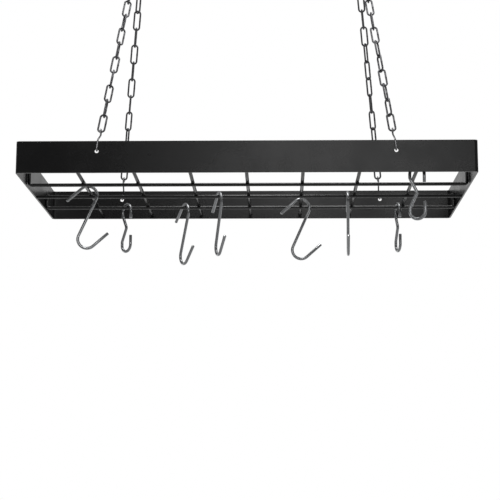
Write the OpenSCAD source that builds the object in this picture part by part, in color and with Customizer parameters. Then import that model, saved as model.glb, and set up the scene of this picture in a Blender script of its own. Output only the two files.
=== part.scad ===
// Hanging pot rack: a flat steel band with a wire grid, hung on four chains
// from two ceiling screw hooks, with eight loose pot hooks on its wires.
// Origin: on the ceiling, midway between the two screw hooks.
// +X runs along the rack, -Y is its front and +Z is up.

/* [Frame band] */
// Length of the rack over the band
rack_l = 762; // [700:1:840]
// Depth of the rack over the band
rack_d = 381; // [330:1:440]
// Height of the flat band
band_h = 54; // [46:1:64]
// Thickness of the flat band
band_t = 3; // [2.5:0.25:3.5]
// Outside radius of the band's four bent corners
corner_r = 6; // [4:0.5:12]
// Distance between the two hanging holes of a long side
hole_spacing = 494; // [440:1:560]
// Diameter of a hanging hole
hole_d = 6.6; // [6.4:0.1:7.6]
// Depth of the hanging holes' centres below the band's top edge
hole_drop = 17.2; // [14:0.2:20]

/* [Grid] */
// Diameter of the grid's wires
grid_wire_d = 6; // [5:0.25:6.5]
// Spacing of the grid's wires, both ways
grid_pitch = 94; // [88:1:96]
// Height of the long wires' undersides above the band's bottom edge
grid_lift = -1.5; // [-2:0.25:4]
// Length of the upturned ends of the two outer long wires
leg_l = 26; // [16:1:34]
// Centreline radius of the bend below an upturned end
leg_bend_r = 5.5; // [4:0.5:8]

/* [Chains] */
// Wire diameter of a chain link
link_wire_d = 3.2; // [2.8:0.1:3.6]
// Outside width of a chain link
link_w = 14; // [13:0.5:17]
// Distance from one link to the next along a chain
link_pitch = 31.6; // [28:0.2:36]
// Number of links in each chain
link_count = 15; // [13:1:18]

/* [Band hooks] */
// Wire diameter of the S-shaped band hooks
band_hook_d = 3; // [2.6:0.1:3.2]
// Height of a band hook's upper loop above the hanging hole, along the chain
band_hook_reach = 37.6; // [34:0.2:44]
// Centreline radius of a band hook's upper loop
band_hook_loop_r = 5.5; // [5:0.1:6.5]

/* [Ceiling hooks] */
// Distance between the two ceiling hooks
ceiling_spacing = 386; // [340:1:440]
// Wire diameter of a ceiling hook
ceiling_wire_d = 5.5; // [5:0.1:6]
// Centreline radius of a ceiling hook's loop
ceiling_loop_r = 10.5; // [10:0.25:13]
// Centreline radius of the bend between a ceiling hook's shank and its loop
ceiling_neck_r = 5; // [4:0.25:7]
// Length of plain shank below the ceiling
shank_below = 8; // [4:0.5:20]
// Length of plain shank above the ceiling
shank_above = 10; // [6:0.5:16]
// Length of the wood thread
thread_l = 28; // [20:1:40]
// Pitch of the wood thread
thread_pitch = 2; // [1.5:0.25:2.5]
// Depth of the wood thread
thread_depth = 0.65; // [0.4:0.05:0.8]
// Length of the thread's pointed tip
thread_tip_l = 6; // [4:0.5:8]

/* [Pot hooks] */
// Wire diameter of a pot hook
hook_d = 5.3; // [4.5:0.1:5.8]
// Height of an open S hook, between its centrelines
open_h = 111; // [100:1:125]
// Centreline radius of an open S hook's two bends
open_r = 16; // [14:0.5:18]
// Length of an open S hook's two straight ends
open_end_l = 35; // [26:1:40]
// Slope of an open S hook's two ends from upright
open_end_slope = 48; // [40:1:55]
// Height of a double-loop hook, between its centrelines
loop_h = 88; // [82:1:100]
// Centreline radius of a double-loop hook's upper loop
loop_top_r = 12; // [11:0.25:13]
// Centreline radius of a double-loop hook's lower loop
loop_low_r = 12.5; // [11.5:0.25:13.5]
// Length of the straight end of a double-loop hook's upper loop
loop_top_end_l = 15; // [8:1:17]
// Length of the straight end of a double-loop hook's lower loop
loop_low_end_l = 17; // [8:1:19]
// Centreline radius of the bends in a double-loop hook's back
loop_back_r = 6; // [4:0.5:8]
// Straight upright stretch of a double-loop hook's back beside each loop
loop_back_l = 7; // [5:0.5:9]

/* [Places of the pot hooks] */
// Hook 1, along cross wire 1 from the rack's middle
hook_1_at = -32; // [-50:1:-20]
// Hook 2, along the back long wire from cross wire 1
hook_2_at = 55; // [30:1:60]
// Hook 3, along the back long wire from cross wire 3
hook_3_at = -26; // [-56:1:-24]
// Hook 4, along the middle long wire from cross wire 4
hook_4_at = -53; // [-60:1:-24]
// Hook 5, along cross wire 5 from the rack's middle
hook_5_at = 80; // [20:1:80]
// Hook 6, along the middle long wire from cross wire 6
hook_6_at = -12; // [-40:1:-9]
// Hook 7, along the back long wire from cross wire 7
hook_7_at = -10; // [-50:1:-10]
// Hook 8, along cross wire 7 from the band's front face
hook_8_at = 22; // [20:0.5:70]

/* [Clearances] */
// Gap left at a seat where one loose piece hangs on another
seat_gap = 0.3; // [0.2:0.05:0.4]
// Gap left at a welded joint of the grid
weld_gap = 0.1; // [0.05:0.05:0.2]

/* [Hidden] */

wire_fn = 32;
bore_fn = 48;
end_chamfer = 0.7;
// A bent wire's bends are this much thicker than its straights, which run into them
bend_swell = 0.03;
bend_lap = 0.1;
steel_black = "#262626";
bright_steel = "#b9bcc0";
chrome = "#d4d7da";

// Corners of the rack where a chain hangs: [name, side along X, side along Y]
CORNERS = [
    ["front_left", -1, -1],
    ["front_right", 1, -1],
    ["back_left", -1, 1],
    ["back_right", 1, 1]
];
// How far each link is turned about its chain, from the lowest link up
LINK_TURNS = [
    [90, 0, 62, 165, 85, 0, 55, 155, 70, 0],
    [90, 148, 28, 90, 155, 31, 90, 0, 90, 0],
    [90, 30, 150, 55, 175, 90, 0, 90, 0, 90, 30, 150],
    [90, 30, 150, 61, 172, 49, 141, 30, 90, 0]
];

// Ceiling hook: the centre of its loop lies straight below its shank
neck_turn = acos(ceiling_neck_r / (ceiling_neck_r + ceiling_loop_r));
loop_z = -shank_below - (ceiling_neck_r + ceiling_loop_r) * sin(neck_turn);
ceiling_loop_open = 165;
// The neck's bend stops this angle short of the loop, where a short straight joins them
neck_cut = asin(bend_lap / ceiling_neck_r);

// Chain: each one hangs in a straight line that crosses the middle of its ceiling loop's
// wire, so it passes the loop's centre a little inwards
link_inner_l = link_pitch + seat_gap;
link_bend_r = (link_w - link_wire_d) / 2;
top_wire_at = ceiling_loop_r - (ceiling_wire_d + link_wire_d) / 2 - seat_gap;
first_link_at = top_wire_at + (link_inner_l + link_wire_d) / 2;
last_wire_at = first_link_at + (link_count - 1) * link_pitch + (link_inner_l + link_wire_d) / 2;
loop_seat = band_hook_loop_r - (band_hook_d + link_wire_d) / 2 - seat_gap;
hang_l = last_wire_at + loop_seat + band_hook_reach;
hang_dx = (hole_spacing - ceiling_spacing) / 2 * hang_l / (hang_l - ceiling_loop_r);
hang_dy = (rack_d - band_t) / 2;
hang_h = sqrt(hang_l * hang_l - hang_dx * hang_dx - hang_dy * hang_dy);
side_lean = atan2(hang_dx, hang_h);
depth_lean = asin(hang_dy / hang_l);
hole_z = loop_z - hang_h;

// Band and grid heights
band_top = hole_z + hole_drop;
band_bottom = band_top - band_h;
long_z = band_bottom + grid_lift + grid_wire_d / 2;
cross_z = long_z + grid_wire_d + weld_gap;
cross_count = 7;
long_count = 3;
grid_tip_x = rack_l / 2 - band_t - weld_gap;
grid_tip_y = rack_d / 2 - band_t - weld_gap;

// Band hook, in the upright plane of its chain: [outwards, upwards] of the hole. The gap
// above its wire in the hole lets the rack sway.
hole_gap = 0.9;
face_clear = 0.5;
inner_clear = 2;
hook_in_hole_h = hole_d / 2 - band_hook_d / 2 - hole_gap;
hook_front_x = band_t / 2 + face_clear + band_hook_d / 2;
hook_inner_x = -band_t / 2 - inner_clear - band_hook_d / 2;
hook_tip_h = 9;
hook_inner_bend_r = 4.3;
hook_front_bend_r = 3.2;
hook_top_bend_r = 5;
hook_over_edge = 1.6;
loop_centre = [-band_hook_reach * sin(depth_lean), band_hook_reach * cos(depth_lean)];
band_hook_loop_end = -10;

// Pot hooks: [kind, wire kind, wire number, place along that wire, turn about Z]
open_s = "open S";
double_loop = "double loop";
POT_HOOKS = [
    [open_s, "cross", 1, hook_1_at, 6],
    [double_loop, "long", 3, cross_x(1) + hook_2_at, -46],
    [open_s, "long", 3, cross_x(3) + hook_3_at, -60],
    [open_s, "long", 2, cross_x(4) + hook_4_at, -70],
    [open_s, "cross", 5, hook_5_at, 6],
    [open_s, "long", 2, cross_x(6) + hook_6_at, -92],
    [double_loop, "long", 3, cross_x(7) + hook_7_at, -76],
    [double_loop, "cross", 7, hook_8_at - rack_d / 2, -14]
];
// Turn of an open S hook's shank from upright, where it is tangent to both bends
shank_slope = asin(2 * open_r / (open_h - 2 * open_r));

function cross_x(i) = (i - (cross_count + 1) / 2) * grid_pitch;
function long_y(i) = (i - (long_count + 1) / 2) * grid_pitch;
function heading(p, q) = atan2(q[1] - p[1], q[0] - p[0]);
function toward(angle) = [cos(angle), sin(angle)];
function wrapped(angle) = angle - 360 * round(angle / 360);
function link_turn(corner, link) =
    link < len(LINK_TURNS[corner]) ? LINK_TURNS[corner][link] : (link % 2 == 0 ? 90 : 0);

// A straight round wire from p to q in the drawing plane, run on into the bend at a
// joined end
module rod(p, q, d, join_p = false, join_q = false) {
    lap_p = join_p ? bend_lap : 0;
    lap_q = join_q ? bend_lap : 0;
    thinner = join_p || join_q ? bend_swell : 0;
    translate([p[0], p[1], 0])
        rotate([0, 0, heading(p, q)])
            translate([-lap_p, 0, 0])
                rotate([0, 90, 0])
                    cylinder(h = norm(q - p) + lap_p + lap_q, d = d - thinner, $fn = wire_fn);
}

// The chamfered end of a wire that stops at p and points along an angle
module rod_end(p, angle, d) {
    translate([p[0], p[1], 0])
        rotate([0, 0, angle])
            translate([-bend_lap, 0, 0])
                rotate([0, 90, 0])
                    cylinder(h = end_chamfer + bend_lap, d1 = d - 2 * bend_swell,
                        d2 = d - 2 * end_chamfer, $fn = wire_fn);
}

// A round wire bent about centre c, from angle a0 up to angle a1
module arc_rod(c, r, a0, a1, d) {
    translate([c[0], c[1], 0])
        rotate([0, 0, a0])
            rotate_extrude(angle = a1 - a0, $fn = 3 * wire_fn)
                translate([r, 0])
                    circle(d = d, $fn = wire_fn);
}

// A round wire through points, with one bend radius for each inner point
module bent_rod(points, radii, d, join_first = false, join_last = false) {
    last = len(points) - 1;
    turns = [for (i = [1:last - 1])
        wrapped(heading(points[i], points[i + 1]) - heading(points[i - 1], points[i]))];
    cuts = [for (i = [0:last])
        i == 0 || i == last ? 0 : radii[i - 1] * tan(abs(turns[i - 1]) / 2)];
    for (i = [0:last - 1]) {
        way = toward(heading(points[i], points[i + 1]));
        rod(points[i] + cuts[i] * way, points[i + 1] - cuts[i + 1] * way, d,
            i > 0 || join_first, i < last - 1 || join_last);
    }
    for (i = [1:last - 1]) {
        side = turns[i - 1] > 0 ? 1 : -1;
        in_angle = heading(points[i - 1], points[i]);
        start = points[i] - cuts[i] * toward(in_angle);
        centre = start + side * radii[i - 1] * toward(in_angle + 90);
        from_angle = in_angle - 90 * side;
        arc_rod(centre, radii[i - 1], min(from_angle, from_angle + turns[i - 1]),
            max(from_angle, from_angle + turns[i - 1]), d);
    }
}

// Stands a drawing plane up: its x stays X and its y becomes Z
module upright() {
    rotate([90, 0, 0]) children();
}

// The flat band, bent to a rectangle and drilled for the band hooks
module frame_band() {
    long_l = rack_l - 2 * corner_r;
    short_l = rack_d - 2 * corner_r;
    color(steel_black)
        difference() {
            translate([0, 0, band_bottom])
                union() {
                    for (side = [-1, 1]) {
                        translate([-long_l / 2, side * (rack_d - band_t) / 2 - band_t / 2, 0])
                            cube([long_l, band_t, band_h]);
                        translate([side * (rack_l - band_t) / 2 - band_t / 2, -short_l / 2, 0])
                            cube([band_t, short_l, band_h]);
                    }
                    for (quarter = [0:3])
                        band_corner(quarter, long_l / 2, short_l / 2);
                }
            for (x = [-1, 1], y = [-1, 1])
                translate([x * hole_spacing / 2, y * (rack_d - band_t) / 2, hole_z])
                    rotate([90, 0, 0])
                        cylinder(h = 3 * band_t, d = hole_d, center = true, $fn = bore_fn);
        }
}

// One quarter bend of the band, about a centre at x, y in its own quarter
module band_corner(quarter, x, y) {
    sx = quarter == 0 || quarter == 3 ? 1 : -1;
    sy = quarter < 2 ? 1 : -1;
    translate([sx * x, sy * y, 0])
        rotate([0, 0, 90 * quarter])
            rotate_extrude(angle = 90, $fn = 2 * bore_fn)
                translate([corner_r - band_t, 0])
                    square([band_t, band_h]);
}

// One long wire of the grid; the two outer ones turn up along the side bands
module long_wire(i) {
    color(steel_black)
        translate([0, long_y(i), long_z])
            upright()
                if (i == 1 || i == long_count) {
                    x = grid_tip_x - grid_wire_d / 2;
                    bent_rod([[-x, leg_l], [-x, 0], [x, 0], [x, leg_l]],
                        [leg_bend_r, leg_bend_r], grid_wire_d);
                } else {
                    rod([-grid_tip_x, 0], [grid_tip_x, 0], grid_wire_d);
                }
}

// One cross wire of the grid, laid on the long wires
module cross_wire(i) {
    color(steel_black)
        translate([cross_x(i), 0, cross_z])
            rotate([0, 0, 90])
                rod([-grid_tip_y, 0], [grid_tip_y, 0], grid_wire_d);
}

// Puts a chain's own frame in place: +Z runs up the chain, origin level with the loop centre
module along_chain(corner) {
    sx = CORNERS[corner][1];
    sy = CORNERS[corner][2];
    translate([sx * (hole_spacing / 2 - hang_dx), 0, loop_z])
        rotate([sy * depth_lean, -sx * side_lean, 0])
            children();
}

// One stadium-shaped chain link, standing along Z in the XZ plane
module link() {
    half = (link_inner_l + link_wire_d) / 2 - link_bend_r;
    upright() {
        for (side = [-1, 1]) {
            rod([side * link_bend_r, -half], [side * link_bend_r, half], link_wire_d);
            arc_rod([0, side * half], link_bend_r, side > 0 ? 0 : 180, side > 0 ? 180 : 360,
                link_wire_d);
        }
    }
}

// The links of one chain from link number low to link number high
module links(corner, low, high) {
    color(bright_steel)
        along_chain(corner)
            for (k = [low:high])
                translate([0, 0, -first_link_at - (link_count - 1 - k) * link_pitch])
                    rotate([0, 0, 90 - link_turn(corner, k)])
                        link();
}

// The S-shaped hook that goes through the band's hole and over its top edge
module band_hook(corner) {
    sx = CORNERS[corner][1];
    sy = CORNERS[corner][2];
    over = [hook_front_x, hole_drop + hook_over_edge];
    sight = heading(over, loop_centre);
    rise = sight + asin(band_hook_loop_r / norm(loop_centre - over));
    meet = loop_centre + band_hook_loop_r * toward(rise + 90);
    color(chrome)
        translate([sx * hole_spacing / 2, sy * hang_dy, hole_z])
            rotate([0, -sx * side_lean, 0])
                rotate([0, 0, sy * 90])
                    upright() {
                        bent_rod([[hook_inner_x, hook_tip_h], [hook_inner_x, hook_in_hole_h],
                            [hook_front_x, hook_in_hole_h], over, meet],
                            [hook_inner_bend_r, hook_front_bend_r, hook_top_bend_r], band_hook_d,
                            join_last = true);
                        rod_end([hook_inner_x, hook_tip_h], 90, band_hook_d);
                        arc_rod(loop_centre, band_hook_loop_r, band_hook_loop_end, rise + 90,
                            band_hook_d);
                        rod_end(loop_centre + band_hook_loop_r * toward(band_hook_loop_end),
                            band_hook_loop_end - 90, band_hook_d);
                    }
}

// A ceiling hook: wood thread, plain shank and an open loop in the YZ plane
module ceiling_hook(side) {
    tip = [0, loop_z] + ceiling_loop_r * toward(ceiling_loop_open);
    neck_end = [0, loop_z] + ceiling_loop_r * toward(neck_turn);
    color(bright_steel)
        translate([side * ceiling_spacing / 2, 0, 0]) {
            translate([0, 0, -shank_below])
                cylinder(h = shank_below + shank_above, d = ceiling_wire_d, $fn = bore_fn);
            translate([0, 0, shank_above])
                wood_thread();
            rotate([0, 0, 90])
                upright() {
                    arc_rod([ceiling_neck_r, -shank_below], ceiling_neck_r, 180,
                        180 + neck_turn - neck_cut, ceiling_wire_d);
                    rod(neck_end, neck_end - bend_lap * toward(neck_turn + 90), ceiling_wire_d,
                        true, true);
                    arc_rod([0, loop_z], ceiling_loop_r, ceiling_loop_open - 360, neck_turn,
                        ceiling_wire_d);
                    rod_end(tip, ceiling_loop_open - 90, ceiling_wire_d);
                }
        }
}

// The threaded end, turned as a row of ridges on a tapered core
module wood_thread() {
    ridge_r = ceiling_wire_d / 2;
    core_r = ridge_r - thread_depth;
    ridges = floor((thread_l - thread_tip_l) / thread_pitch);
    rotate_extrude($fn = bore_fn)
        polygon(concat(
            [[0, 0], [core_r, 0]],
            [for (i = [0:ridges - 1], edge = [[0.35, ridge_r], [0.5, ridge_r], [1, core_r]])
                [edge[1], (i + edge[0]) * thread_pitch]],
            [[0, thread_l]]));
}

// An open S hook in the XZ plane; its upper bend's centreline tops out at the origin
module open_s_hook() {
    upper = [0, -open_r];
    lower = [0, -open_h + open_r];
    leave = 90 - shank_slope;
    end_angle = 180 - open_end_slope;
    reach = open_end_l * toward(end_angle + 90);
    upper_end = upper + open_r * toward(end_angle);
    lower_end = lower - open_r * toward(end_angle);
    upright() {
        arc_rod(upper, open_r, -shank_slope, end_angle, hook_d);
        arc_rod(lower, open_r, 180 - shank_slope, end_angle + 180, hook_d);
        rod(upper + open_r * toward(leave - 90), lower - open_r * toward(leave - 90), hook_d,
            true, true);
        rod(upper_end, upper_end + reach, hook_d, true);
        rod(lower_end, lower_end - reach, hook_d, true);
        rod_end(upper_end + reach, end_angle + 90, hook_d);
        rod_end(lower_end - reach, end_angle - 90, hook_d);
    }
}

// A double-loop hook in the XZ plane: two loops open to +X and a back with a waist
module double_loop_hook() {
    upper = [0, -loop_top_r];
    lower = [0, -loop_h + loop_low_r];
    waist = [0, (upper[1] + lower[1]) / 2];
    top_end = [loop_top_r, upper[1] - loop_top_end_l];
    low_end = [loop_low_r, lower[1] + loop_low_end_l];
    upright() {
        arc_rod(upper, loop_top_r, 0, 180, hook_d);
        arc_rod(lower, loop_low_r, 180, 360, hook_d);
        bent_rod([
            [-loop_top_r, upper[1]], [-loop_top_r, upper[1] - loop_back_l], waist,
            [-loop_low_r, lower[1] + loop_back_l], [-loop_low_r, lower[1]]
        ], [loop_back_r, loop_back_r, loop_back_r], hook_d, true, true);
        rod([loop_top_r, upper[1]], top_end, hook_d, true);
        rod([loop_low_r, lower[1]], low_end, hook_d, true);
        rod_end(top_end, -90, hook_d);
        rod_end(low_end, 90, hook_d);
    }
}

// One pot hook, hung over its wire
module pot_hook(i) {
    spot = POT_HOOKS[i - 1];
    on_cross = spot[1] == "cross";
    x = on_cross ? cross_x(spot[2]) : spot[3];
    y = on_cross ? spot[3] : long_y(spot[2]);
    wire_z = on_cross ? cross_z : long_z;
    color(chrome)
        translate([x, y, wire_z + (grid_wire_d + hook_d) / 2 + seat_gap])
            rotate([0, 0, spot[4]])
                if (spot[0] == open_s)
                    open_s_hook();
                else
                    double_loop_hook();
}

frame_band();
long_wire(1);  // long_wire_front
long_wire(2);  // long_wire_middle
long_wire(3);  // long_wire_back
for (i = [1:cross_count]) {
    cross_wire(i);
}
for (c = [0:len(CORNERS) - 1]) {
    band_hook(c);
    links(c, 0, link_count - 2);
    links(c, link_count - 1, link_count - 1);
}
ceiling_hook(-1);  // left_ceiling_hook
ceiling_hook(1);  // right_ceiling_hook
for (i = [1:len(POT_HOOKS)]) {
    pot_hook(i);
}
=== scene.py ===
"""Looks for a ceiling-hung pot rack: powder-coated band and grid, plated chains and hooks."""

import logging
import math
import random
from dataclasses import dataclass
from enum import Enum
from typing import Callable, Optional, Sequence, Union

import bmesh
import bpy
from mathutils import Matrix, Vector


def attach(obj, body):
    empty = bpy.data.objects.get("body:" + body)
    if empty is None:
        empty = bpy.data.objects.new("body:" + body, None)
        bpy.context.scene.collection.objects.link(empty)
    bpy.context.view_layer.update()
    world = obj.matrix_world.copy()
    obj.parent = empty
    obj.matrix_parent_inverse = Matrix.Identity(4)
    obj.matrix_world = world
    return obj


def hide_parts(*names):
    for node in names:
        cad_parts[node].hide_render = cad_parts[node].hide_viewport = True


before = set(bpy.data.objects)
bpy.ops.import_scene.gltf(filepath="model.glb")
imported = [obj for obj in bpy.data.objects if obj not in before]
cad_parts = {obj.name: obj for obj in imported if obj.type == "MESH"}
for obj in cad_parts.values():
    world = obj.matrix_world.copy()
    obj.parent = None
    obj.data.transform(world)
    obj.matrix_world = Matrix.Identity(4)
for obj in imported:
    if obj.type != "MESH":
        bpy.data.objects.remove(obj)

log = logging.getLogger("pot_rack")
MM = 0.001
# Vertices closer than this, in millimetres, are one
MERGE = 0.01
UPRIGHT = Matrix.Rotation(math.radians(90), 4, "X")
Value = Union[float, tuple, "Socket"]


# ---------------------------------------------------------------- shader graph


class Socket:
    """A shader socket whose arithmetic adds Math nodes to its graph."""

    def __init__(self, graph: "Graph", link: Optional[bpy.types.NodeSocket]) -> None:
        """Wraps one output socket.

        Args:
            graph: The graph that holds the socket's node.
            link: The output socket, or None for a node that has none.
        """
        self.graph = graph
        self.link = link

    def _math(self, operation: str, a: Value, b: Value) -> "Socket":
        """Adds one Math node on two values."""
        return self.graph.node("ShaderNodeMath", {"operation": operation}, {0: a, 1: b})

    def __add__(self, other: Value) -> "Socket":
        """Adds a value."""
        return self._math("ADD", self, other)

    def __sub__(self, other: Value) -> "Socket":
        """Takes a value away."""
        return self._math("SUBTRACT", self, other)

    def __mul__(self, other: Value) -> "Socket":
        """Multiplies by a value."""
        return self._math("MULTIPLY", self, other)

    def __rsub__(self, other: Value) -> "Socket":
        """Takes this socket away from a value."""
        return self._math("SUBTRACT", other, self)

    __radd__ = __add__
    __rmul__ = __mul__


class Graph:
    """A node tree that is written as expressions."""

    # The Mix node's colour sockets by number, because their names repeat
    MIX_A, MIX_B, MIX_OUT = 6, 7, 2

    def __init__(self, tree: bpy.types.NodeTree) -> None:
        """Empties a node tree and keeps it.

        Args:
            tree: The material's or the world's node tree.
        """
        self.tree = tree
        self.tree.nodes.clear()

    def node(self, kind: str, settings: Optional[dict] = None, sockets: Optional[dict] = None,
             out: Union[int, str] = 0) -> Socket:
        """Adds a node, sets it up and links its inputs.

        Args:
            kind: The node's type.
            settings: Its properties.
            sockets: Its inputs by name or number, as values or Sockets.
            out: The output that is returned.

        Returns:
            The node's output socket, wrapped.
        """
        made = self.tree.nodes.new(kind)
        for name, value in (settings or {}).items():
            setattr(made, name, value)
        for name, value in (sockets or {}).items():
            if isinstance(value, Socket):
                self.tree.links.new(value.link, made.inputs[name])
            else:
                made.inputs[name].default_value = value
        return Socket(self, made.outputs[out] if len(made.outputs) else None)

    def noise(self, scale: float, detail: float = 3.0,
              stretch: tuple = (1.0, 1.0, 1.0)) -> Socket:
        """Noise on object coordinates.

        Args:
            scale: Features per metre, roughly.
            detail: Octaves of finer noise.
            stretch: Scale along each axis.

        Returns:
            The noise, from 0 to 1.
        """
        place = self.node("ShaderNodeTexCoord", out="Object")
        spread = self.node("ShaderNodeMapping", {}, {"Vector": place, "Scale": stretch})
        return self.node("ShaderNodeTexNoise", {},
                         {"Vector": spread, "Scale": scale, "Detail": detail})

    def band(self, value: Socket, low: float, high: float, a: float, b: float) -> Socket:
        """Maps one stretch of a value onto another, clamped.

        Args:
            value: The value to map.
            low: The lower end of its stretch.
            high: The upper end of its stretch.
            a: What the lower end becomes.
            b: What the upper end becomes.

        Returns:
            The mapped value.
        """
        return self.node("ShaderNodeMapRange", {"clamp": True},
                         {"Value": value, "From Min": low, "From Max": high,
                          "To Min": a, "To Max": b})

    def blend(self, factor: Value, a: tuple, b: tuple) -> Socket:
        """Blends two colours.

        Args:
            factor: The share of the second colour, from 0 to 1.
            a: The first colour.
            b: The second colour.

        Returns:
            The blended colour.
        """
        return self.node("ShaderNodeMix", {"data_type": "RGBA"},
                         {"Factor": factor, self.MIX_A: (*a, 1.0), self.MIX_B: (*b, 1.0)},
                         self.MIX_OUT)

    def bump(self, height: Socket, depth: float) -> Socket:
        """Turns a height from 0 to 1 into a normal.

        Args:
            height: The height field.
            depth: What a height of 1 stands for, in metres.

        Returns:
            The bent normal.
        """
        return self.node("ShaderNodeBump", {}, {"Height": height, "Distance": depth,
                                                "Strength": 1.0})

    def surface(self, shader: Socket) -> None:
        """Makes a shader the material's surface."""
        self.node("ShaderNodeOutputMaterial", {}, {"Surface": shader})


def new_material(name: str) -> tuple[bpy.types.Material, Graph]:
    """Makes an empty material.

    Args:
        name: The material's name.

    Returns:
        The material and its graph.
    """
    made = bpy.data.materials.new(name)
    made.use_nodes = True
    return made, Graph(made.node_tree)


# -------------------------------------------------------------------- finishes


@dataclass(frozen=True)
class PowderCoat:
    """Baked black powder coat with a fine orange-peel skin.

    Grains are features per metre, spans are stretches of the noise, and depths are metres.
    """

    name: str
    colour: tuple = (0.0085, 0.0085, 0.0088)
    dusty: tuple = (0.016, 0.016, 0.0165)
    smooth: float = 0.24
    rough: float = 0.32
    gloss: float = 0.35
    ior: float = 1.5
    peel_depth: float = 0.00004
    peel_grain: float = 900.0
    cloud_grain: float = 14.0
    speck_grain: float = 2600.0
    speck_span: tuple = (0.66, 0.74)
    dust_span: tuple = (0.35, 0.75)
    rough_span: tuple = (0.3, 0.7)
    cloud_dust: float = 0.7
    speck_dust: float = 0.3
    speck_rough: float = 0.08

    def material(self) -> bpy.types.Material:
        """Makes the coat's material.

        Returns:
            The material.
        """
        made, g = new_material(self.name)
        cloud = g.noise(self.cloud_grain)
        speck = g.band(g.noise(self.speck_grain, 1.0), *self.speck_span, 0.0, 1.0)
        dust = (g.band(cloud, *self.dust_span, 0.0, 1.0) * self.cloud_dust
                + speck * self.speck_dust)
        rough = g.band(cloud, *self.rough_span, self.smooth, self.rough)
        g.surface(g.node("ShaderNodeBsdfPrincipled", {}, {
            "Base Color": g.blend(dust, self.colour, self.dusty),
            "Roughness": rough + speck * self.speck_rough,
            "IOR": self.ior, "Specular IOR Level": self.gloss,
            "Normal": g.bump(g.noise(self.peel_grain, 2.0), self.peel_depth)}))
        return made


@dataclass(frozen=True)
class Plate:
    """Plating on drawn wire: clouded, faintly pitted and lightly scratched.

    Grains are features per metre, spans are stretches of the noise, and depths are metres.
    """

    name: str
    colour: tuple
    dull: tuple
    smooth: float
    rough: float
    pit_depth: float = 0.000004
    pit_grain: float = 1800.0
    cloud_grain: float = 60.0
    scratch_grain: float = 700.0
    scratch_stretch: tuple = (1.0, 1.0, 0.12)
    scratch_span: tuple = (0.58, 0.70)
    dull_span: tuple = (0.3, 0.75)
    rough_span: tuple = (0.3, 0.7)
    cloud_dull: float = 0.8
    scratch_dull: float = 0.2
    scratch_rough: float = 0.06

    def material(self) -> bpy.types.Material:
        """Makes the plating's material.

        Returns:
            The material.
        """
        made, g = new_material(self.name)
        cloud = g.noise(self.cloud_grain)
        lines = g.noise(self.scratch_grain, 4.0, self.scratch_stretch)
        scratch = g.band(lines, *self.scratch_span, 0.0, 1.0)
        dullness = (g.band(cloud, *self.dull_span, 0.0, 1.0) * self.cloud_dull
                    + scratch * self.scratch_dull)
        rough = g.band(cloud, *self.rough_span, self.smooth, self.rough)
        g.surface(g.node("ShaderNodeBsdfPrincipled", {}, {
            "Base Color": g.blend(dullness, self.colour, self.dull),
            "Roughness": rough + scratch * self.scratch_rough, "Metallic": 1.0,
            "Normal": g.bump(g.noise(self.pit_grain, 2.0), self.pit_depth)}))
        return made


class Finish(Enum):
    """The finishes of the rack's pieces; each value is a recipe."""

    BAND = PowderCoat("satin_black_band")
    GRID = PowderCoat("black_grid_wire", smooth=0.20, rough=0.30, gloss=0.80)
    CHAIN = Plate("dull_nickel_chain", (0.24, 0.24, 0.25), (0.14, 0.14, 0.15), 0.30, 0.44)
    BAND_HOOK = Plate("nickel_band_hook", (0.50, 0.50, 0.51), (0.34, 0.34, 0.35), 0.18, 0.30)
    CEILING = Plate("zinc_ceiling_hook", (0.50, 0.51, 0.52), (0.34, 0.35, 0.36), 0.22, 0.38)
    POT_HOOK = Plate("satin_chrome_hook", (0.54, 0.55, 0.56), (0.42, 0.43, 0.44), 0.20, 0.30)

    def made(self) -> bpy.types.Material:
        """The finish's material, made once."""
        return bpy.data.materials.get(self.value.name) or self.value.material()


# ---------------------------------------------------------------- wire forming


def toward(degrees: float) -> Vector:
    """A unit step in the drawing plane."""
    a = math.radians(degrees)
    return Vector((math.cos(a), math.sin(a)))


def heading(p: Vector, q: Vector) -> float:
    """The heading from p to q in degrees."""
    return math.degrees(math.atan2(q.y - p.y, q.x - p.x))


def rim(circle: dict) -> list:
    """The edges of a circle that bmesh.ops.create_circle has just made."""
    return list(dict.fromkeys(e for v in circle["verts"] for e in v.link_edges))


def last_ring(spun: dict) -> list:
    """The edges of the last ring that bmesh.ops.spin has made."""
    return [g for g in spun["geom_last"] if isinstance(g, bmesh.types.BMEdge)]


def carry_on(bm: bmesh.types.BMesh, ring: list) -> tuple[list, list]:
    """Extrudes a ring of edges where it is, ready to be moved.

    Args:
        bm: The mesh.
        ring: The edges.

    Returns:
        The new ring's vertices and its edges.
    """
    step = bmesh.ops.extrude_edge_only(bm, edges=ring)["geom"]
    verts = [g for g in step if isinstance(g, bmesh.types.BMVert)]
    return verts, [g for g in step if isinstance(g, bmesh.types.BMEdge)
                   and all(v in verts for v in g.verts)]


def lathe(bm: bmesh.types.BMesh, ring: list, profile: Sequence[tuple], place: Matrix) -> None:
    """Turns a solid from a circle of edges, and closes its far end.

    Args:
        bm: The mesh.
        ring: The circle, already at the profile's first step.
        profile: Each step's radius and its height along the axis.
        place: Where the axis lies.
    """
    flat = place.inverted()
    for (r0, z0), (r1, z1) in zip(profile, profile[1:]):
        verts, ring = carry_on(bm, ring)
        bmesh.ops.transform(bm, matrix=flat, verts=verts)
        bmesh.ops.scale(bm, vec=(r1 / r0, r1 / r0, 1.0), verts=verts)
        bmesh.ops.translate(bm, vec=(0, 0, z1 - z0), verts=verts)
        bmesh.ops.transform(bm, matrix=place, verts=verts)
    bmesh.ops.edgeloop_fill(bm, edges=ring)


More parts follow.
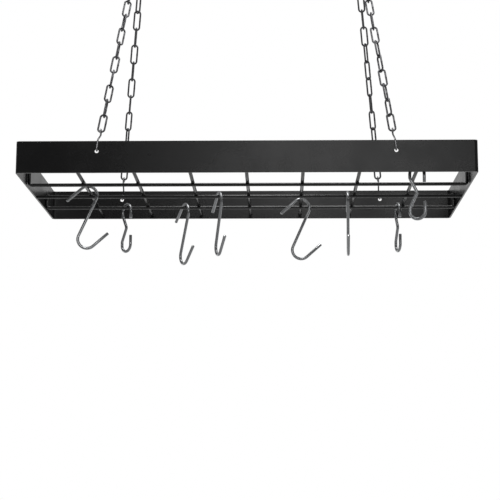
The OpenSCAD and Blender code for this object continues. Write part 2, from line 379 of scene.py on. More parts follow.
class WireFormer:
    """Bends one round wire in its drawing plane, as a wire former does.

    Sizes are millimetres. The wire starts at a point with a heading, and each call carries its
    last ring of edges on.
    """

    SIDES = 24
    STEP = 6.0
    # A rounded tip: distance from the wire's end, and the share of its radius there
    DOME = ((0.0, 0.55), (0.18, 0.80), (0.45, 0.95), (0.75, 1.0))
    TIP_L = DOME[-1][0]

    def __init__(self, diameter: float, start: Vector, angle: float,
                 open_start: bool = False) -> None:
        """Starts a wire.

        Args:
            diameter: The wire's diameter.
            start: Where the wire begins, in the drawing plane.
            angle: Which way it goes, in degrees.
            open_start: True leaves its start open, to be joined on, and not rounded.
        """
        self.bm = bmesh.new()
        self.at = start.copy()
        self.angle = angle
        turn = Matrix.Rotation(math.radians(angle), 4, "Z") @ Matrix.Rotation(
            math.radians(90), 4, "Y")
        share = 1.0 if open_start else self.DOME[0][1]
        self.ring = rim(bmesh.ops.create_circle(
            self.bm, segments=self.SIDES, radius=diameter / 2 * share, cap_ends=not open_start,
            matrix=Matrix.Translation(start.to_3d()) @ turn))
        if not open_start:
            self._dome()

    def _dome(self) -> None:
        """Rounds the wire's start in short steps."""
        for (low, small), (high, large) in zip(self.DOME, self.DOME[1:]):
            self.straight(high - low)
            self._scale(large / small)

    def _scale(self, growth: float) -> None:
        """Grows or shrinks the last ring about its own centre."""
        verts = list(dict.fromkeys(v for e in self.ring for v in e.verts))
        bmesh.ops.scale(self.bm, vec=(growth,) * 3, verts=verts,
                        space=Matrix.Translation(-self.at.to_3d()))

    def straight(self, length: float) -> "WireFormer":
        """Runs the wire straight on.

        Args:
            length: How far it runs.

        Returns:
            The former itself.
        """
        way = toward(self.angle) * length
        verts, self.ring = carry_on(self.bm, self.ring)
        bmesh.ops.translate(self.bm, vec=way.to_3d(), verts=verts)
        self.at = self.at + way
        return self

    def bend(self, radius: float, turn: float) -> "WireFormer":
        """Bends the wire round a former.

        Args:
            radius: The centreline's radius.
            turn: The angle in degrees, positive to the left.

        Returns:
            The former itself.
        """
        side = 1.0 if turn > 0 else -1.0
        centre = self.at + toward(self.angle + 90.0) * radius * side
        steps = max(2, round(abs(turn) / self.STEP))
        self.ring = last_ring(bmesh.ops.spin(
            self.bm, geom=self.ring, cent=centre.to_3d(), axis=(0, 0, 1),
            angle=math.radians(turn), steps=steps, use_merge=False, use_duplicate=False))
        self.at = centre + (Matrix.Rotation(math.radians(turn), 2) @ (self.at - centre))
        self.angle += turn
        return self

    def swell(self, growth: float, length: float) -> "WireFormer":
        """Raises a short weld bead on the wire.

        Args:
            growth: The bead's thickness as a share of the wire's.
            length: The bead's whole length.

        Returns:
            The former itself.
        """
        for share, scale in ((0.25, growth), (0.5, 1.0), (0.25, 1 / growth)):
            self.straight(length * share)
            self._scale(scale)
        return self

    def finish(self, closed: bool = False) -> "WireFormer":
        """Ends the wire.

        Args:
            closed: True welds it to its own start, and otherwise it ends in a rounded tip.

        Returns:
            The former itself.
        """
        if closed:
            bmesh.ops.remove_doubles(self.bm, verts=self.bm.verts, dist=MERGE)
            return self
        step = self.TIP_L / (len(self.DOME) - 1)
        for (_, small), (_, large) in zip(reversed(self.DOME[:-1]), reversed(self.DOME[1:])):
            self.straight(step)
            self._scale(small / large)
        bmesh.ops.edgeloop_fill(self.bm, edges=self.ring)
        return self

    def place(self, matrix: Matrix) -> "WireFormer":
        """Carries the formed wire to its place on the rack, still in millimetres."""
        bmesh.ops.transform(self.bm, matrix=matrix, verts=self.bm.verts)
        return self


def run(former: WireFormer, points: Sequence[Vector], radii: Sequence[float]) -> WireFormer:
    """Follows a polyline with one bend for each inner point.

    Args:
        former: A wire that starts at the first point, on its first heading.
        points: The polyline.
        radii: The bend radius at each inner point.

    Returns:
        The former, at the last point.
    """
    ways = [heading(a, b) for a, b in zip(points, points[1:])]
    turns = [(b - a + 180.0) % 360.0 - 180.0 for a, b in zip(ways, ways[1:])]
    cuts = [0.0] + [r * math.tan(math.radians(abs(t)) / 2) for r, t in zip(radii, turns)] + [0.0]
    for i, (a, b) in enumerate(zip(points, points[1:])):
        former.straight((b - a).length - cuts[i] - cuts[i + 1])
        if i < len(turns):
            former.bend(radii[i], turns[i])
    return former


def piece(name: str, bm: bmesh.types.BMesh, finish: Finish, body: str,
          nodes: Sequence[str], sharp: float = 40.0) -> bpy.types.Object:
    """Turns a millimetre mesh into a dressed piece of the rack.

    Args:
        name: The piece's name.
        bm: Its mesh, in millimetres and in its place on the rack; it is freed.
        finish: Its finish.
        body: The body that it rides on.
        nodes: The solids that it stands for.
        sharp: Edges that turn by more degrees than this stay crisp.

    Returns:
        The object.
    """
    bmesh.ops.scale(bm, vec=(MM, MM, MM), verts=bm.verts)
    bmesh.ops.recalc_face_normals(bm, faces=bm.faces)
    for face in bm.faces:
        face.smooth = True
    for edge in bm.edges:
        if len(edge.link_faces) == 2:
            edge.smooth = edge.calc_face_angle() < math.radians(sharp)
    data = bpy.data.meshes.new(name)
    bm.to_mesh(data)
    bm.free()
    data.materials.append(finish.made())
    made = bpy.data.objects.new(name, data)
    bpy.context.scene.collection.objects.link(made)
    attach(made, body)
    if nodes:
        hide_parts(*nodes)
    log.info("%s: %d faces on %s", name, len(data.polygons), body)
    return made


# ----------------------------------------------------------------------- rack


@dataclass(frozen=True)
class RackSizes:
    """The rack's sizes, in millimetres and degrees, as on the part."""

    length: float = 762.0
    depth: float = 381.0
    band_h: float = 54.0
    band_t: float = 3.0
    corner_r: float = 6.0
    hole_spacing: float = 494.0
    hole_d: float = 6.6
    hole_drop: float = 17.2
    wire_d: float = 6.0
    pitch: float = 94.0
    lift: float = -1.5
    cross_wires: int = 7
    long_wires: int = 3
    leg_l: float = 26.0
    leg_bend_r: float = 5.5
    link_d: float = 3.2
    link_w: float = 14.0
    link_pitch: float = 31.6
    links: int = 15
    hook_reach: float = 37.6
    hook_loop_r: float = 5.5
    band_hook_d: float = 3.0
    ceiling_spacing: float = 386.0
    ceiling_d: float = 5.5
    ceiling_loop_r: float = 10.5
    neck_r: float = 5.0
    shank_below: float = 8.0
    shank_above: float = 10.0
    seat: float = 0.3
    weld: float = 0.1

    @property
    def neck_turn(self) -> float:
        """Turn of a ceiling hook's neck."""
        return math.degrees(math.acos(self.neck_r / (self.neck_r + self.ceiling_loop_r)))

    @property
    def loop_z(self) -> float:
        """Height of the ceiling hooks' loop centres."""
        return -self.shank_below - (self.neck_r + self.ceiling_loop_r) * math.sin(
            math.radians(self.neck_turn))

    @property
    def link_inner(self) -> float:
        """Inside length of a chain link."""
        return self.link_pitch + self.seat

    @property
    def first_link_at(self) -> float:
        """Distance down the chain to its top link's centre."""
        top = self.ceiling_loop_r - (self.ceiling_d + self.link_d) / 2 - self.seat
        return top + (self.link_inner + self.link_d) / 2

    @property
    def hang_l(self) -> float:
        """Slant distance from a ceiling loop's centre to a hanging hole.

        Returns:
            The distance, along the chain and its band hook.
        """
        last = (self.first_link_at + (self.links - 1) * self.link_pitch
                + (self.link_inner + self.link_d) / 2)
        loop_seat = self.hook_loop_r - (self.band_hook_d + self.link_d) / 2 - self.seat
        return last + loop_seat + self.hook_reach

    @property
    def hang_dy(self) -> float:
        """Distance of the long bands' middle planes from the rack's middle."""
        return (self.depth - self.band_t) / 2

    @property
    def hang_dx(self) -> float:
        """Distance along the rack that a chain covers, through its ceiling loop's wire."""
        return ((self.hole_spacing - self.ceiling_spacing) / 2 * self.hang_l
                / (self.hang_l - self.ceiling_loop_r))

    @property
    def hang_h(self) -> float:
        """Height of the ceiling loops above the holes."""
        return math.sqrt(self.hang_l ** 2 - self.hang_dx ** 2 - self.hang_dy ** 2)

    @property
    def side_lean(self) -> float:
        """Lean of a chain along the rack."""
        return math.degrees(math.atan2(self.hang_dx, self.hang_h))

    @property
    def depth_lean(self) -> float:
        """Lean of a chain across the rack."""
        return math.degrees(math.asin(self.hang_dy / self.hang_l))

    @property
    def hole_z(self) -> float:
        """Height of the hanging holes."""
        return self.loop_z - self.hang_h

    @property
    def band_bottom(self) -> float:
        """Height of the band's bottom edge."""
        return self.hole_z + self.hole_drop - self.band_h

    @property
    def long_z(self) -> float:
        """Height of the long wires' centrelines."""
        return self.band_bottom + self.lift + self.wire_d / 2

    @property
    def cross_z(self) -> float:
        """Height of the cross wires' centrelines."""
        return self.long_z + self.wire_d + self.weld

    def cross_x(self, i: int) -> float:
        """Place of cross wire i along the rack."""
        return (i - (self.cross_wires + 1) / 2) * self.pitch

    def long_y(self, i: int) -> float:
        """Place of long wire i across the rack."""
        return (i - (self.long_wires + 1) / 2) * self.pitch


@dataclass
class FrameBand:
    """The flat strip, bent to a rectangle, drilled and coated."""

    sizes: RackSizes
    edge_r: float = 0.5
    edge_steps: int = 4
    corner_steps: int = 8
    hole_chamfer: float = 0.35
    hole_sides: int = 48
    drill_out: float = 1.0
    crisp: float = 50.0
    face_weight: int = 100

    def build(self) -> None:
        """Sweeps the strip's rounded section round the rack and drills it."""
        s = self.sizes
        x, y = s.length / 2 - s.corner_r, s.depth / 2 - s.corner_r
        bm = bmesh.new()
        section = bmesh.ops.create_grid(bm, x_segments=1, y_segments=1, size=0.5)
        bmesh.ops.scale(bm, vec=(s.band_t, s.band_h, 1.0), verts=section["verts"])
        bmesh.ops.bevel(bm, geom=list(bm.verts), offset=self.edge_r, segments=self.edge_steps,
                        profile=0.5, affect="VERTICES", material=-1)
        bmesh.ops.rotate(bm, cent=(0, 0, 0), matrix=UPRIGHT.to_3x3(), verts=bm.verts)
        bmesh.ops.translate(bm, vec=((s.length - s.band_t) / 2, -y, s.band_bottom + s.band_h / 2),
                            verts=bm.verts)
        ring = list(bm.edges)
        bmesh.ops.delete(bm, geom=list(bm.faces), context="FACES_ONLY")
        for dx, dy, cx, cy in ((0, 2, 1, 1), (-2, 0, -1, 1), (0, -2, -1, -1), (2, 0, 1, -1)):
            verts, ring = carry_on(bm, ring)
            bmesh.ops.translate(bm, vec=(dx * x, dy * y, 0), verts=verts)
            ring = last_ring(bmesh.ops.spin(
                bm, geom=ring, cent=(cx * x, cy * y, 0), axis=(0, 0, 1),
                angle=math.radians(90), steps=self.corner_steps, use_merge=False))
        bmesh.ops.remove_doubles(bm, verts=bm.verts, dist=MERGE)
        bmesh.ops.recalc_face_normals(bm, faces=bm.faces)
        self._drill(bm)
        band = piece("band", bm, Finish.BAND, "rack", ["frame_band"], self.crisp)
        flat = band.modifiers.new("flat_faces", "WEIGHTED_NORMAL")
        flat.weight, flat.keep_sharp = self.face_weight, True

    def _drill(self, bm: bmesh.types.BMesh) -> None:
        """Cuts the hanging holes, each with a small chamfer on both faces.

        Args:
            bm: The swept strip, changed in place.
        """
        s = self.sizes
        half, bore = s.band_t / 2, s.hole_d / 2
        wide = bore + self.hole_chamfer
        outer = [(bore, half - self.hole_chamfer), (wide, half), (wide, half + self.drill_out)]
        profile = [(r, -z) for r, z in reversed(outer)] + [(bore, 0.0)] + outer
        start = Matrix.Translation((0, 0, profile[0][1]))
        drills = bmesh.new()
        for sx, sy in ((-1, -1), (-1, 1), (1, -1), (1, 1)):
            place = Matrix.Translation(
                (sx * s.hole_spacing / 2, sy * s.hang_dy, s.hole_z)) @ UPRIGHT
            ring = rim(bmesh.ops.create_circle(drills, segments=self.hole_sides, radius=wide,
                                               cap_ends=True, matrix=place @ start))
            lathe(drills, ring, profile, place)
        bmesh.ops.recalc_face_normals(drills, faces=drills.faces)
        strip = self._temporary("strip", bm)
        cutter = self._temporary("drills", drills)
        cut = strip.modifiers.new("holes", "BOOLEAN")
        cut.operation, cut.object, cut.solver = "DIFFERENCE", cutter, "EXACT"
        bpy.context.view_layer.update()
        done = strip.evaluated_get(bpy.context.evaluated_depsgraph_get())
        bm.clear()
        bm.from_mesh(done.to_mesh())
        for extra in (strip, cutter):
            bpy.data.objects.remove(extra)
        drills.free()

    @staticmethod
    def _temporary(name: str, bm: bmesh.types.BMesh) -> bpy.types.Object:
        """Makes a throwaway object for the drilling.

        Args:
            name: Its name.
            bm: Its mesh, which stays as it is.

        Returns:
            The object.
        """
        data = bpy.data.meshes.new(name)
        bm.to_mesh(data)
        made = bpy.data.objects.new(name, data)
        bpy.context.scene.collection.objects.link(made)
        return made


@dataclass
class WireGrid:
    """The grid of long and cross wires, with its spot welds."""

    sizes: RackSizes
    bead_w: float = 3.4
    bead_h: float = 1.2
    bead_inset: float = 0.2
    bead_least: float = 0.92
    bead_most: float = 1.08
    bead_sides: int = 14
    bead_rings: int = 8
    bead_seed: int = 7

    def build(self) -> None:
        """Builds the long wires, the cross wires and the welds."""
        s = self.sizes
        tip_x = s.length / 2 - s.band_t - s.weld
        tip_y = s.depth / 2 - s.band_t - s.weld
        for i, name in enumerate(("front", "middle", "back"), 1):
            wire = self._level(tip_x) if name == "middle" else self._upturned(tip_x)
            wire.place(Matrix.Translation((0, s.long_y(i), s.long_z)) @ UPRIGHT)
            self._coat("long_wire_" + name, wire)
        across = Matrix.Rotation(math.radians(90), 4, "Z") @ UPRIGHT
        for i in range(1, s.cross_wires + 1):
            wire = self._level(tip_y)
            wire.place(Matrix.Translation((s.cross_x(i), 0, s.cross_z)) @ across)
            self._coat("cross_wire_%d" % i, wire)
        self._welds(tip_x, tip_y)

    @staticmethod
    def _coat(node: str, wire: WireFormer) -> None:
        """Makes a coated piece of a formed wire."""
        piece(node + "_coated", wire.bm, Finish.GRID, "rack", [node])

    def _level(self, tip: float) -> WireFormer:
        """Forms a straight wire that ends at the same distance to either side."""
        wire = WireFormer(self.sizes.wire_d, Vector((-tip, 0)), 0.0)
        return wire.straight(2 * (tip - wire.TIP_L)).finish()

    def _upturned(self, tip: float) -> WireFormer:
        """Forms a wire whose two ends turn up.

        Args:
            tip: How far its outside reaches to either side.

        Returns:
            The formed wire.
        """
        s = self.sizes
        x, top = tip - s.wire_d / 2, s.leg_l - WireFormer.TIP_L
        wire = WireFormer(s.wire_d, Vector((-x, s.leg_l)), -90.0)
        points = [Vector((-x, top)), Vector((-x, 0)), Vector((x, 0)), Vector((x, top))]
        return run(wire, points, [s.leg_bend_r, s.leg_bend_r]).finish()

    def _welds(self, tip_x: float, tip_y: float) -> None:
        """Sets a small coated bead at each crossing and at each level end on the band.

        Args:
            tip_x: Where the long wires end.
            tip_y: Where the cross wires end.
        """
        s = self.sizes
        draw = random.Random(self.bead_seed)
        bm = bmesh.new()
        crosses = range(1, s.cross_wires + 1)
        spots = [((s.cross_x(i), s.long_y(j), (s.long_z + s.cross_z) / 2), (1, 1, 0))
                 for i in crosses for j in range(1, s.long_wires + 1)]
        spots += [((s.cross_x(i), side * (tip_y - self.bead_inset), s.cross_z), (1, 0, 1))
                  for i in crosses for side in (-1, 1)]
        spots += [((side * (tip_x - self.bead_inset), s.long_y(2), s.long_z), (0, 1, 1))
                  for side in (-1, 1)]
        for centre, spread in spots:
            bead = bmesh.ops.create_uvsphere(
                bm, u_segments=self.bead_sides, v_segments=self.bead_rings, radius=1.0)
            size = [self.bead_w * draw.uniform(self.bead_least, self.bead_most) if k
                    else self.bead_h for k in spread]
            bmesh.ops.scale(bm, vec=size, verts=bead["verts"])
            bmesh.ops.translate(bm, vec=centre, verts=bead["verts"])
        piece("grid_welds", bm, Finish.GRID, "rack", [])


@dataclass
class Chains:
    """The four chains and the hooks that join them to the band."""

    sizes: RackSizes
    weld_swell: float = 1.10
    weld_l: float = 3.6
    hook_tip_h: float = 9.0
    hook_chamfer: float = 0.7
    hook_inner_bend_r: float = 4.3
    hook_front_bend_r: float = 3.2
    hook_top_bend_r: float = 5.0
    hook_over_edge: float = 1.6
    hook_loop_end: float = -10.0
    hole_gap: float = 0.9
    face_clear: float = 0.5
    inner_clear: float = 2.0

    # Each corner's name, and its side along and across the rack
    CORNERS = (("front_left", -1, -1), ("front_right", 1, -1), ("back_left", -1, 1),
               ("back_right", 1, 1))
    # How far each link is turned about its chain, from the lowest link up
    TURNS = ((90, 0, 62, 165, 85, 0, 55, 155, 70, 0),
             (90, 148, 28, 90, 155, 31, 90, 0, 90, 0),
             (90, 30, 150, 55, 175, 90, 0, 90, 0, 90, 30, 150),
             (90, 30, 150, 61, 172, 49, 141, 30, 90, 0))

    def _turn(self, corner: int, link: int) -> float:
        """How far a link is turned about its chain."""
        turns = self.TURNS[corner]
        return turns[link] if link < len(turns) else (90 if link % 2 == 0 else 0)

    def _link(self) -> bpy.types.Mesh:
        """Forms one welded link, standing along Z about the origin.

        Returns:
            The link's mesh, in millimetres.
        """
        s = self.sizes
        r = (s.link_w - s.link_d) / 2
        half = (s.link_inner + s.link_d) / 2 - r
        link = WireFormer(s.link_d, Vector((r, self.weld_l / 2)), 90.0, open_start=True)
        link.straight(half - self.weld_l / 2).bend(r, 180.0).straight(2 * half).bend(r, 180.0)
        link.straight(half - self.weld_l / 2).swell(self.weld_swell, self.weld_l)
        link.finish(closed=True).place(UPRIGHT)
        formed = bpy.data.meshes.new("link")
        link.bm.to_mesh(formed)
        link.bm.free()
        return formed

    @staticmethod
    def _add(bm: bmesh.types.BMesh, link: bpy.types.Mesh, place: Matrix) -> None:
        """Adds a copy of the formed link to a chain.

        Args:
            bm: The chain's mesh.
            link: The formed link.
            place: Where the link hangs.
        """
        known = len(bm.verts)
        bm.from_mesh(link)
        bm.verts.ensure_lookup_table()
        bmesh.ops.transform(bm, matrix=place, verts=bm.verts[known:])

    def build(self) -> None:
        """Builds each chain, its top link and its band hook."""
        s = self.sizes
        link = self._link()
        for c, (name, sx, sy) in enumerate(self.CORNERS):
            body = "left_chains" if sx < 0 else "right_chains"
            along = (Matrix.Translation((sx * (s.hole_spacing / 2 - s.hang_dx), 0, s.loop_z))
                     @ Matrix.Rotation(math.radians(-sx * s.side_lean), 4, "Y")
                     @ Matrix.Rotation(math.radians(sy * s.depth_lean), 4, "X"))
            meshes = {"chain": bmesh.new(), "top_link": bmesh.new()}
            for k in range(s.links):
                down = s.first_link_at + (s.links - 1 - k) * s.link_pitch
                place = (along @ Matrix.Translation((0, 0, -down)) @ Matrix.Rotation(
                    math.radians(90 - self._turn(c, k)), 4, "Z"))
                self._add(meshes["chain" if k < s.links - 1 else "top_link"], link, place)
            piece(name + "_chain_links", meshes["chain"], Finish.CHAIN, body,
                  [name + "_chain"])
            piece(name + "_chain_top", meshes["top_link"], Finish.CHAIN, "top_links",
                  [name + "_top_link"])
            self._band_hook(name, sx, sy, body)

    def _band_hook(self, name: str, sx: int, sy: int, body: str) -> None:
        """Forms the hook that runs through the hole and over the band's edge.

        Args:
            name: The corner's name.
            sx: Its side along the rack, -1 or 1.
            sy: Its side across the rack, -1 or 1.
            body: The body that the hook rides on.
        """
        s = self.sizes
        half_t, half_d = s.band_t / 2, s.band_hook_d / 2
        in_h = s.hole_d / 2 - half_d - self.hole_gap
        front = half_t + self.face_clear + half_d
        inner = -half_t - self.inner_clear - half_d
        lean = math.radians(s.depth_lean)
        centre = Vector((-s.hook_reach * math.sin(lean), s.hook_reach * math.cos(lean)))
        over = Vector((front, s.hole_drop + self.hook_over_edge))
        sight = centre - over
        rise = heading(over, centre) + math.degrees(math.asin(s.hook_loop_r / sight.length))
        meet = centre + toward(rise + 90) * s.hook_loop_r
        start = Vector((inner, self.hook_tip_h + self.hook_chamfer))
        wire = WireFormer(s.band_hook_d, start, -90.0)
        run(wire, [wire.at.copy(), Vector((inner, in_h)), Vector((front, in_h)), over, meet],
            [self.hook_inner_bend_r, self.hook_front_bend_r, self.hook_top_bend_r])
        wire.bend(s.hook_loop_r, self.hook_loop_end - 90.0 - rise).finish()
        wire.place(Matrix.Translation((sx * s.hole_spacing / 2, sy * s.hang_dy, s.hole_z))
                   @ Matrix.Rotation(math.radians(-sx * s.side_lean), 4, "Y")
                   @ Matrix.Rotation(math.radians(sy * 90), 4, "Z") @ UPRIGHT)
        piece(name + "_band_hook_wire", wire.bm, Finish.BAND_HOOK, body,
              [name + "_band_hook"])


@dataclass
class CeilingHooks:
    """The two screw hooks, with a cut helical wood thread."""

    sizes: RackSizes
    thread_l: float = 28.0
    thread_pitch: float = 2.0
    thread_depth: float = 0.65
    tip_l: float = 6.0
    point_r: float = 0.25
    runout: float = 0.8
    ridge_share: float = 0.95
    ridge_out: float = 0.12
    ridge_start: float = 1.6
    ridge_short: float = 2.2
    turn_steps: int = 24
    loop_open: float = 165.0

    def build(self) -> None:
        """Builds the left and right hooks."""
        s = self.sizes
        for name, side in (("left", -1), ("right", 1)):
            x = side * s.ceiling_spacing / 2
            wire = WireFormer(s.ceiling_d, Vector((0, s.shank_above)), -90.0, open_start=True)
            wire.straight(s.shank_above + s.shank_below)
            wire.bend(s.neck_r, s.neck_turn)
            wire.bend(s.ceiling_loop_r, -(s.neck_turn + 360.0 - self.loop_open)).finish()
            wire.place(Matrix.Translation((x, 0, 0))
                       @ Matrix.Rotation(math.radians(90), 4, "Z") @ UPRIGHT)
            self._thread(wire.bm, x)
            bmesh.ops.remove_doubles(wire.bm, verts=wire.bm.verts, dist=MERGE)
            piece(name + "_screw_hook", wire.bm, Finish.CEILING, "ceiling_hooks",
                  [name + "_ceiling_hook"])

    def _thread(self, bm: bmesh.types.BMesh, x: float) -> None:
        """Adds the threaded end: a tapered core, and a ridge that winds round it.

        Args:
            bm: The hook's mesh, open at the shank's top.
            x: The shank's place along the rack.
        """
        s = self.sizes
        r = s.ceiling_d / 2
        core = r - self.thread_depth
        place = Matrix.Translation((x, 0, s.shank_above))
        profile = ((r, 0.0), (core, self.runout), (core, self.thread_l - self.tip_l),
                   (self.point_r, self.thread_l))
        shank = bmesh.ops.create_circle(bm, segments=WireFormer.SIDES, radius=r, matrix=place)
        lathe(bm, rim(shank), profile, place)
        ridge = bmesh.ops.create_circle(
            bm, segments=3, radius=self.thread_depth * self.ridge_share, cap_ends=True,
            matrix=place @ Matrix.Translation((core + self.ridge_out, 0, self.ridge_start))
            @ UPRIGHT)
        turns = (self.thread_l - self.tip_l - self.ridge_short) / self.thread_pitch
        steps = round(turns * self.turn_steps)
        wound = bmesh.ops.spin(bm, geom=rim(ridge), cent=(x, 0, 0), axis=(0, 0, 1),
                               dvec=(0, 0, turns * self.thread_pitch / steps),
                               angle=math.radians(360 * turns), steps=steps, use_merge=False)
        bmesh.ops.edgeloop_fill(bm, edges=last_ring(wound))


class HookKind(Enum):
    """The two kinds of pot hook."""

    OPEN_S = "open S"
    DOUBLE_LOOP = "double loop"


class Wire(Enum):
    """The kind of grid wire that a pot hook hangs on."""

    CROSS = "cross"
    LONG = "long"


@dataclass(frozen=True)
class Spot:
    """Where one pot hook hangs."""

    kind: HookKind
    wire: Wire
    number: int
    along: float
    turn: float


@dataclass
class PotHooks:
    """The eight loose chrome hooks."""

    sizes: RackSizes
    wire_d: float = 5.3
    open_h: float = 111.0
    open_r: float = 16.0
    open_end_l: float = 35.0
    open_end_slope: float = 48.0
    loop_h: float = 88.0
    loop_top_r: float = 12.0
    loop_low_r: float = 12.5
    loop_top_end_l: float = 15.0
    loop_low_end_l: float = 17.0
    back_r: float = 6.0
    back_l: float = 7.0

    def spots(self) -> tuple[Spot, ...]:
        """Lists where the hooks hang, in millimetres and degrees.

        Returns:
            The hooks' places, from left to right.
        """
        s = self.sizes
        s_hook, looped = HookKind.OPEN_S, HookKind.DOUBLE_LOOP
        return (Spot(s_hook, Wire.CROSS, 1, -32, 6),
                Spot(looped, Wire.LONG, 3, s.cross_x(1) + 55, -46),
                Spot(s_hook, Wire.LONG, 3, s.cross_x(3) - 26, -60),
                Spot(s_hook, Wire.LONG, 2, s.cross_x(4) - 53, -70),
                Spot(s_hook, Wire.CROSS, 5, 80, 6),
                Spot(s_hook, Wire.LONG, 2, s.cross_x(6) - 12, -92),
                Spot(looped, Wire.LONG, 3, s.cross_x(7) - 10, -76),
                Spot(looped, Wire.CROSS, 7, 22 - s.depth / 2, -14))

    def _open_s(self) -> WireFormer:
        """Forms an open S hook from its upper tip to its lower one.

        Returns:
            The formed wire.
        """
        slope = math.degrees(math.asin(2 * self.open_r / (self.open_h - 2 * self.open_r)))
        end = 180.0 - self.open_end_slope
        end_l = self.open_end_l - WireFormer.TIP_L
        upper = Vector((0, -self.open_r))
        lower = Vector((0, -self.open_h + self.open_r))
        start = upper + toward(end) * self.open_r + toward(end + 90) * self.open_end_l
        wire = WireFormer(self.wire_d, start, end - 90)
        wire.straight(end_l).bend(self.open_r, -(end + slope))
        leave = lower + toward(180 - slope) * self.open_r
        wire.straight((leave - wire.at).length).bend(self.open_r, end + slope)
        return wire.straight(end_l).finish()

    def _double_loop(self) -> WireFormer:
        """Forms a hook of two loops with a waisted back.

        Returns:
            The formed wire.
        """
        upper = Vector((0, -self.loop_top_r))
        lower = Vector((0, -self.loop_h + self.loop_low_r))
        wire = WireFormer(self.wire_d,
                          Vector((self.loop_top_r, upper.y - self.loop_top_end_l)), 90.0)
        wire.straight(self.loop_top_end_l - wire.TIP_L).bend(self.loop_top_r, 180.0)
        run(wire, [Vector((-self.loop_top_r, upper.y)),
                   Vector((-self.loop_top_r, upper.y - self.back_l)),
                   (upper + lower) / 2,
                   Vector((-self.loop_low_r, lower.y + self.back_l)),
                   Vector((-self.loop_low_r, lower.y))], [self.back_r] * 3)
        wire.bend(self.loop_low_r, 180.0)
        return wire.straight(self.loop_low_end_l - wire.TIP_L).finish()

    def build(self) -> None:
        """Builds and hangs every hook."""
        s = self.sizes
        forms: dict[HookKind, Callable[[], WireFormer]] = {
            HookKind.OPEN_S: self._open_s, HookKind.DOUBLE_LOOP: self._double_loop}
        for n, spot in enumerate(self.spots(), 1):
            if spot.wire is Wire.CROSS:
                at = Vector((s.cross_x(spot.number), spot.along, s.cross_z))
            else:
                at = Vector((spot.along, s.long_y(spot.number), s.long_z))
            at.z += (s.wire_d + self.wire_d) / 2 + s.seat
            wire = forms[spot.kind]()
            wire.place(Matrix.Translation(at)
                       @ Matrix.Rotation(math.radians(spot.turn), 4, "Z") @ UPRIGHT)
            piece("chrome_hook_%d" % n, wire.bm, Finish.POT_HOOK, "hanging_hook_%d" % n,
                  ["pot_hook_%d" % n])


# --------------------------------------------------------------------- studio


@dataclass(frozen=True)
class Lamp:
    """A soft box."""

    name: str
    at: tuple
    look_at: tuple
    width: float
    height: float
    power: float


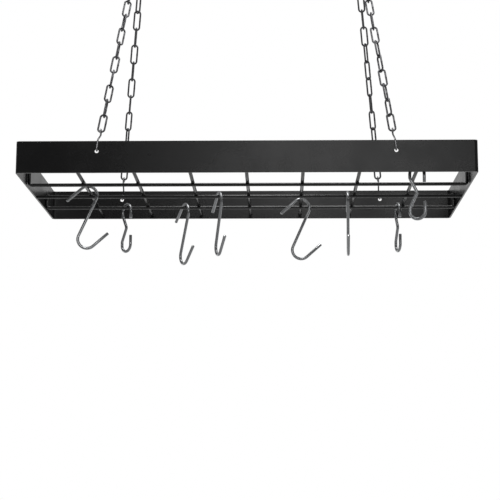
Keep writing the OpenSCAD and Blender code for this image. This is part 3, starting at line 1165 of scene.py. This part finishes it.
@dataclass
class Studio:
    """Camera, soft boxes, floor and surrounding.

    Places are metres and angles degrees. A span is where a fade begins and ends.
    """

    camera_at: tuple = (0.05272, -2.39515, -1.07352)
    pitch: float = 10.272
    yaw: float = -1.1987
    roll: float = 0.087
    lens: float = 99.30
    sensor_w: float = 36.0
    floor_z: float = -2.4
    floor_size: float = 40.0
    floor_colour: tuple = (0.9, 0.9, 0.9, 1.0)
    floor_rough: float = 0.9
    floor_glow: float = 0.85
    floor_span: tuple = (1.5, 4.5)
    room_span: tuple = (-0.9, -0.3)
    room_levels: tuple = (0.12, 0.24)
    backdrop_span: tuple = (0.70, 0.92)
    rise_span: tuple = (0.02, 0.25)
    rise_loss: float = 0.5
    lamps: tuple = (
        Lamp("front_box", (0.28, -3.2, 0.20), (0.05, 0.0, -0.5), 0.95, 1.2, 9.2),
        Lamp("top_box", (0.10, -0.35, 1.6), (0.05, 0.0, -0.5), 0.7, 1.4, 18.0),
    )

    def build(self) -> None:
        """Sets up the camera, the light, the floor and the world."""
        self._camera()
        for lamp in self.lamps:
            self._lamp(lamp)
        self._floor()
        self._world()
        bpy.context.scene.view_settings.view_transform = "Standard"

    def _camera(self) -> None:
        """Places the camera at the photograph's viewing angle."""
        pitch, yaw, roll = (math.radians(a) for a in (self.pitch, self.yaw, self.roll))
        ahead = Vector((math.sin(yaw) * math.cos(pitch), math.cos(yaw) * math.cos(pitch),
                        math.sin(pitch)))
        right = ahead.cross(Vector((0, 0, 1))).normalized()
        up = right.cross(ahead)
        right, up = (right * math.cos(roll) + up * math.sin(roll),
                     up * math.cos(roll) - right * math.sin(roll))
        data = bpy.data.cameras.new("photo_camera")
        data.sensor_width, data.lens = self.sensor_w, self.lens
        camera = bpy.data.objects.new("photo_camera", data)
        camera.matrix_world = Matrix.Translation(self.camera_at) @ Matrix(
            (right, up, -ahead)).transposed().to_4x4()
        bpy.context.scene.collection.objects.link(camera)
        bpy.context.scene.camera = camera

    @staticmethod
    def _lamp(lamp: Lamp) -> None:
        """Hangs one soft box.

        Args:
            lamp: What it is and where it points.
        """
        data = bpy.data.lights.new(lamp.name, "AREA")
        data.shape, data.size, data.size_y = "RECTANGLE", lamp.width, lamp.height
        data.energy = lamp.power
        made = bpy.data.objects.new(lamp.name, data)
        made.location = lamp.at
        made.rotation_euler = (Vector(lamp.look_at) - Vector(lamp.at)).to_track_quat(
            "-Z", "Y").to_euler()
        bpy.context.scene.collection.objects.link(made)

    @staticmethod
    def _rays(g: Graph) -> tuple[Socket, Socket]:
        """Tells the kinds of ray apart.

        Args:
            g: The graph that asks.

        Returns:
            1 for a ray from the camera, and 1 for one off metal or through glass.
        """
        camera, glossy, through = (g.node("ShaderNodeLightPath", out="Is %s Ray" % kind)
                                   for kind in ("Camera", "Glossy", "Transmission"))
        return camera, glossy + through

    def _floor(self) -> None:
        """Lays a plain pale floor far below the rack."""
        bm = bmesh.new()
        bmesh.ops.create_grid(bm, x_segments=1, y_segments=1, size=self.floor_size)
        bmesh.ops.translate(bm, vec=(0, 0, self.floor_z), verts=bm.verts)
        data = bpy.data.meshes.new("studio_floor")
        bm.to_mesh(data)
        bm.free()
        material, g = new_material("pale_floor")
        shader = g.node("ShaderNodeBsdfPrincipled", {},
                        {"Base Color": self.floor_colour, "Roughness": self.floor_rough})
        white = g.node("ShaderNodeEmission", {}, {"Color": (1, 1, 1, 1), "Strength": 1.0})
        place = g.node("ShaderNodeTexCoord", out="Object")
        back = g.node("ShaderNodeSeparateXYZ", {}, {"Vector": place}, "Y")
        behind = g.band(back, *self.floor_span, 0.0, 1.0)
        camera, bounced = self._rays(g)
        seen = camera * self.floor_glow + bounced * behind * self.floor_glow
        g.surface(g.node("ShaderNodeMixShader", {}, {0: seen, 1: shader, 2: white}))
        data.materials.append(material)
        floor = bpy.data.objects.new("studio_floor", data)
        bpy.context.scene.collection.objects.link(floor)

    def _world(self) -> None:
        """Sets a white backdrop, seen direct and by metal that faces it, in a dim room."""
        world = bpy.data.worlds.new("studio")
        bpy.context.scene.world = world
        world.use_nodes = True
        g = Graph(world.node_tree)
        way = g.node("ShaderNodeTexCoord", out="Generated")
        across, up = (g.node("ShaderNodeSeparateXYZ", {}, {"Vector": way}, axis)
                      for axis in "YZ")
        fade = 1.0 - g.band(up, *self.rise_span, 0.0, self.rise_loss)
        behind = g.band(across, *self.backdrop_span, 0.0, 1.0) * fade
        level = g.band(across, *self.room_span, *self.room_levels)
        room = g.node("ShaderNodeBackground", {}, {"Color": (1, 1, 1, 1), "Strength": level})
        white = g.node("ShaderNodeBackground", {}, {"Color": (1, 1, 1, 1), "Strength": 1.0})
        camera, bounced = self._rays(g)
        seen = camera + bounced * behind
        mixed = g.node("ShaderNodeMixShader", {}, {0: seen, 1: room, 2: white})
        g.node("ShaderNodeOutputWorld", {}, {"Surface": mixed})


def main() -> None:
    """Builds the rack and its studio in order."""
    logging.basicConfig(level=logging.INFO, format="%(message)s")
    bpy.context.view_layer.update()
    sizes = RackSizes()
    Studio().build()
    FrameBand(sizes).build()
    WireGrid(sizes).build()
    Chains(sizes).build()
    CeilingHooks(sizes).build()
    PotHooks(sizes).build()


if __name__ == "__main__":
    main()
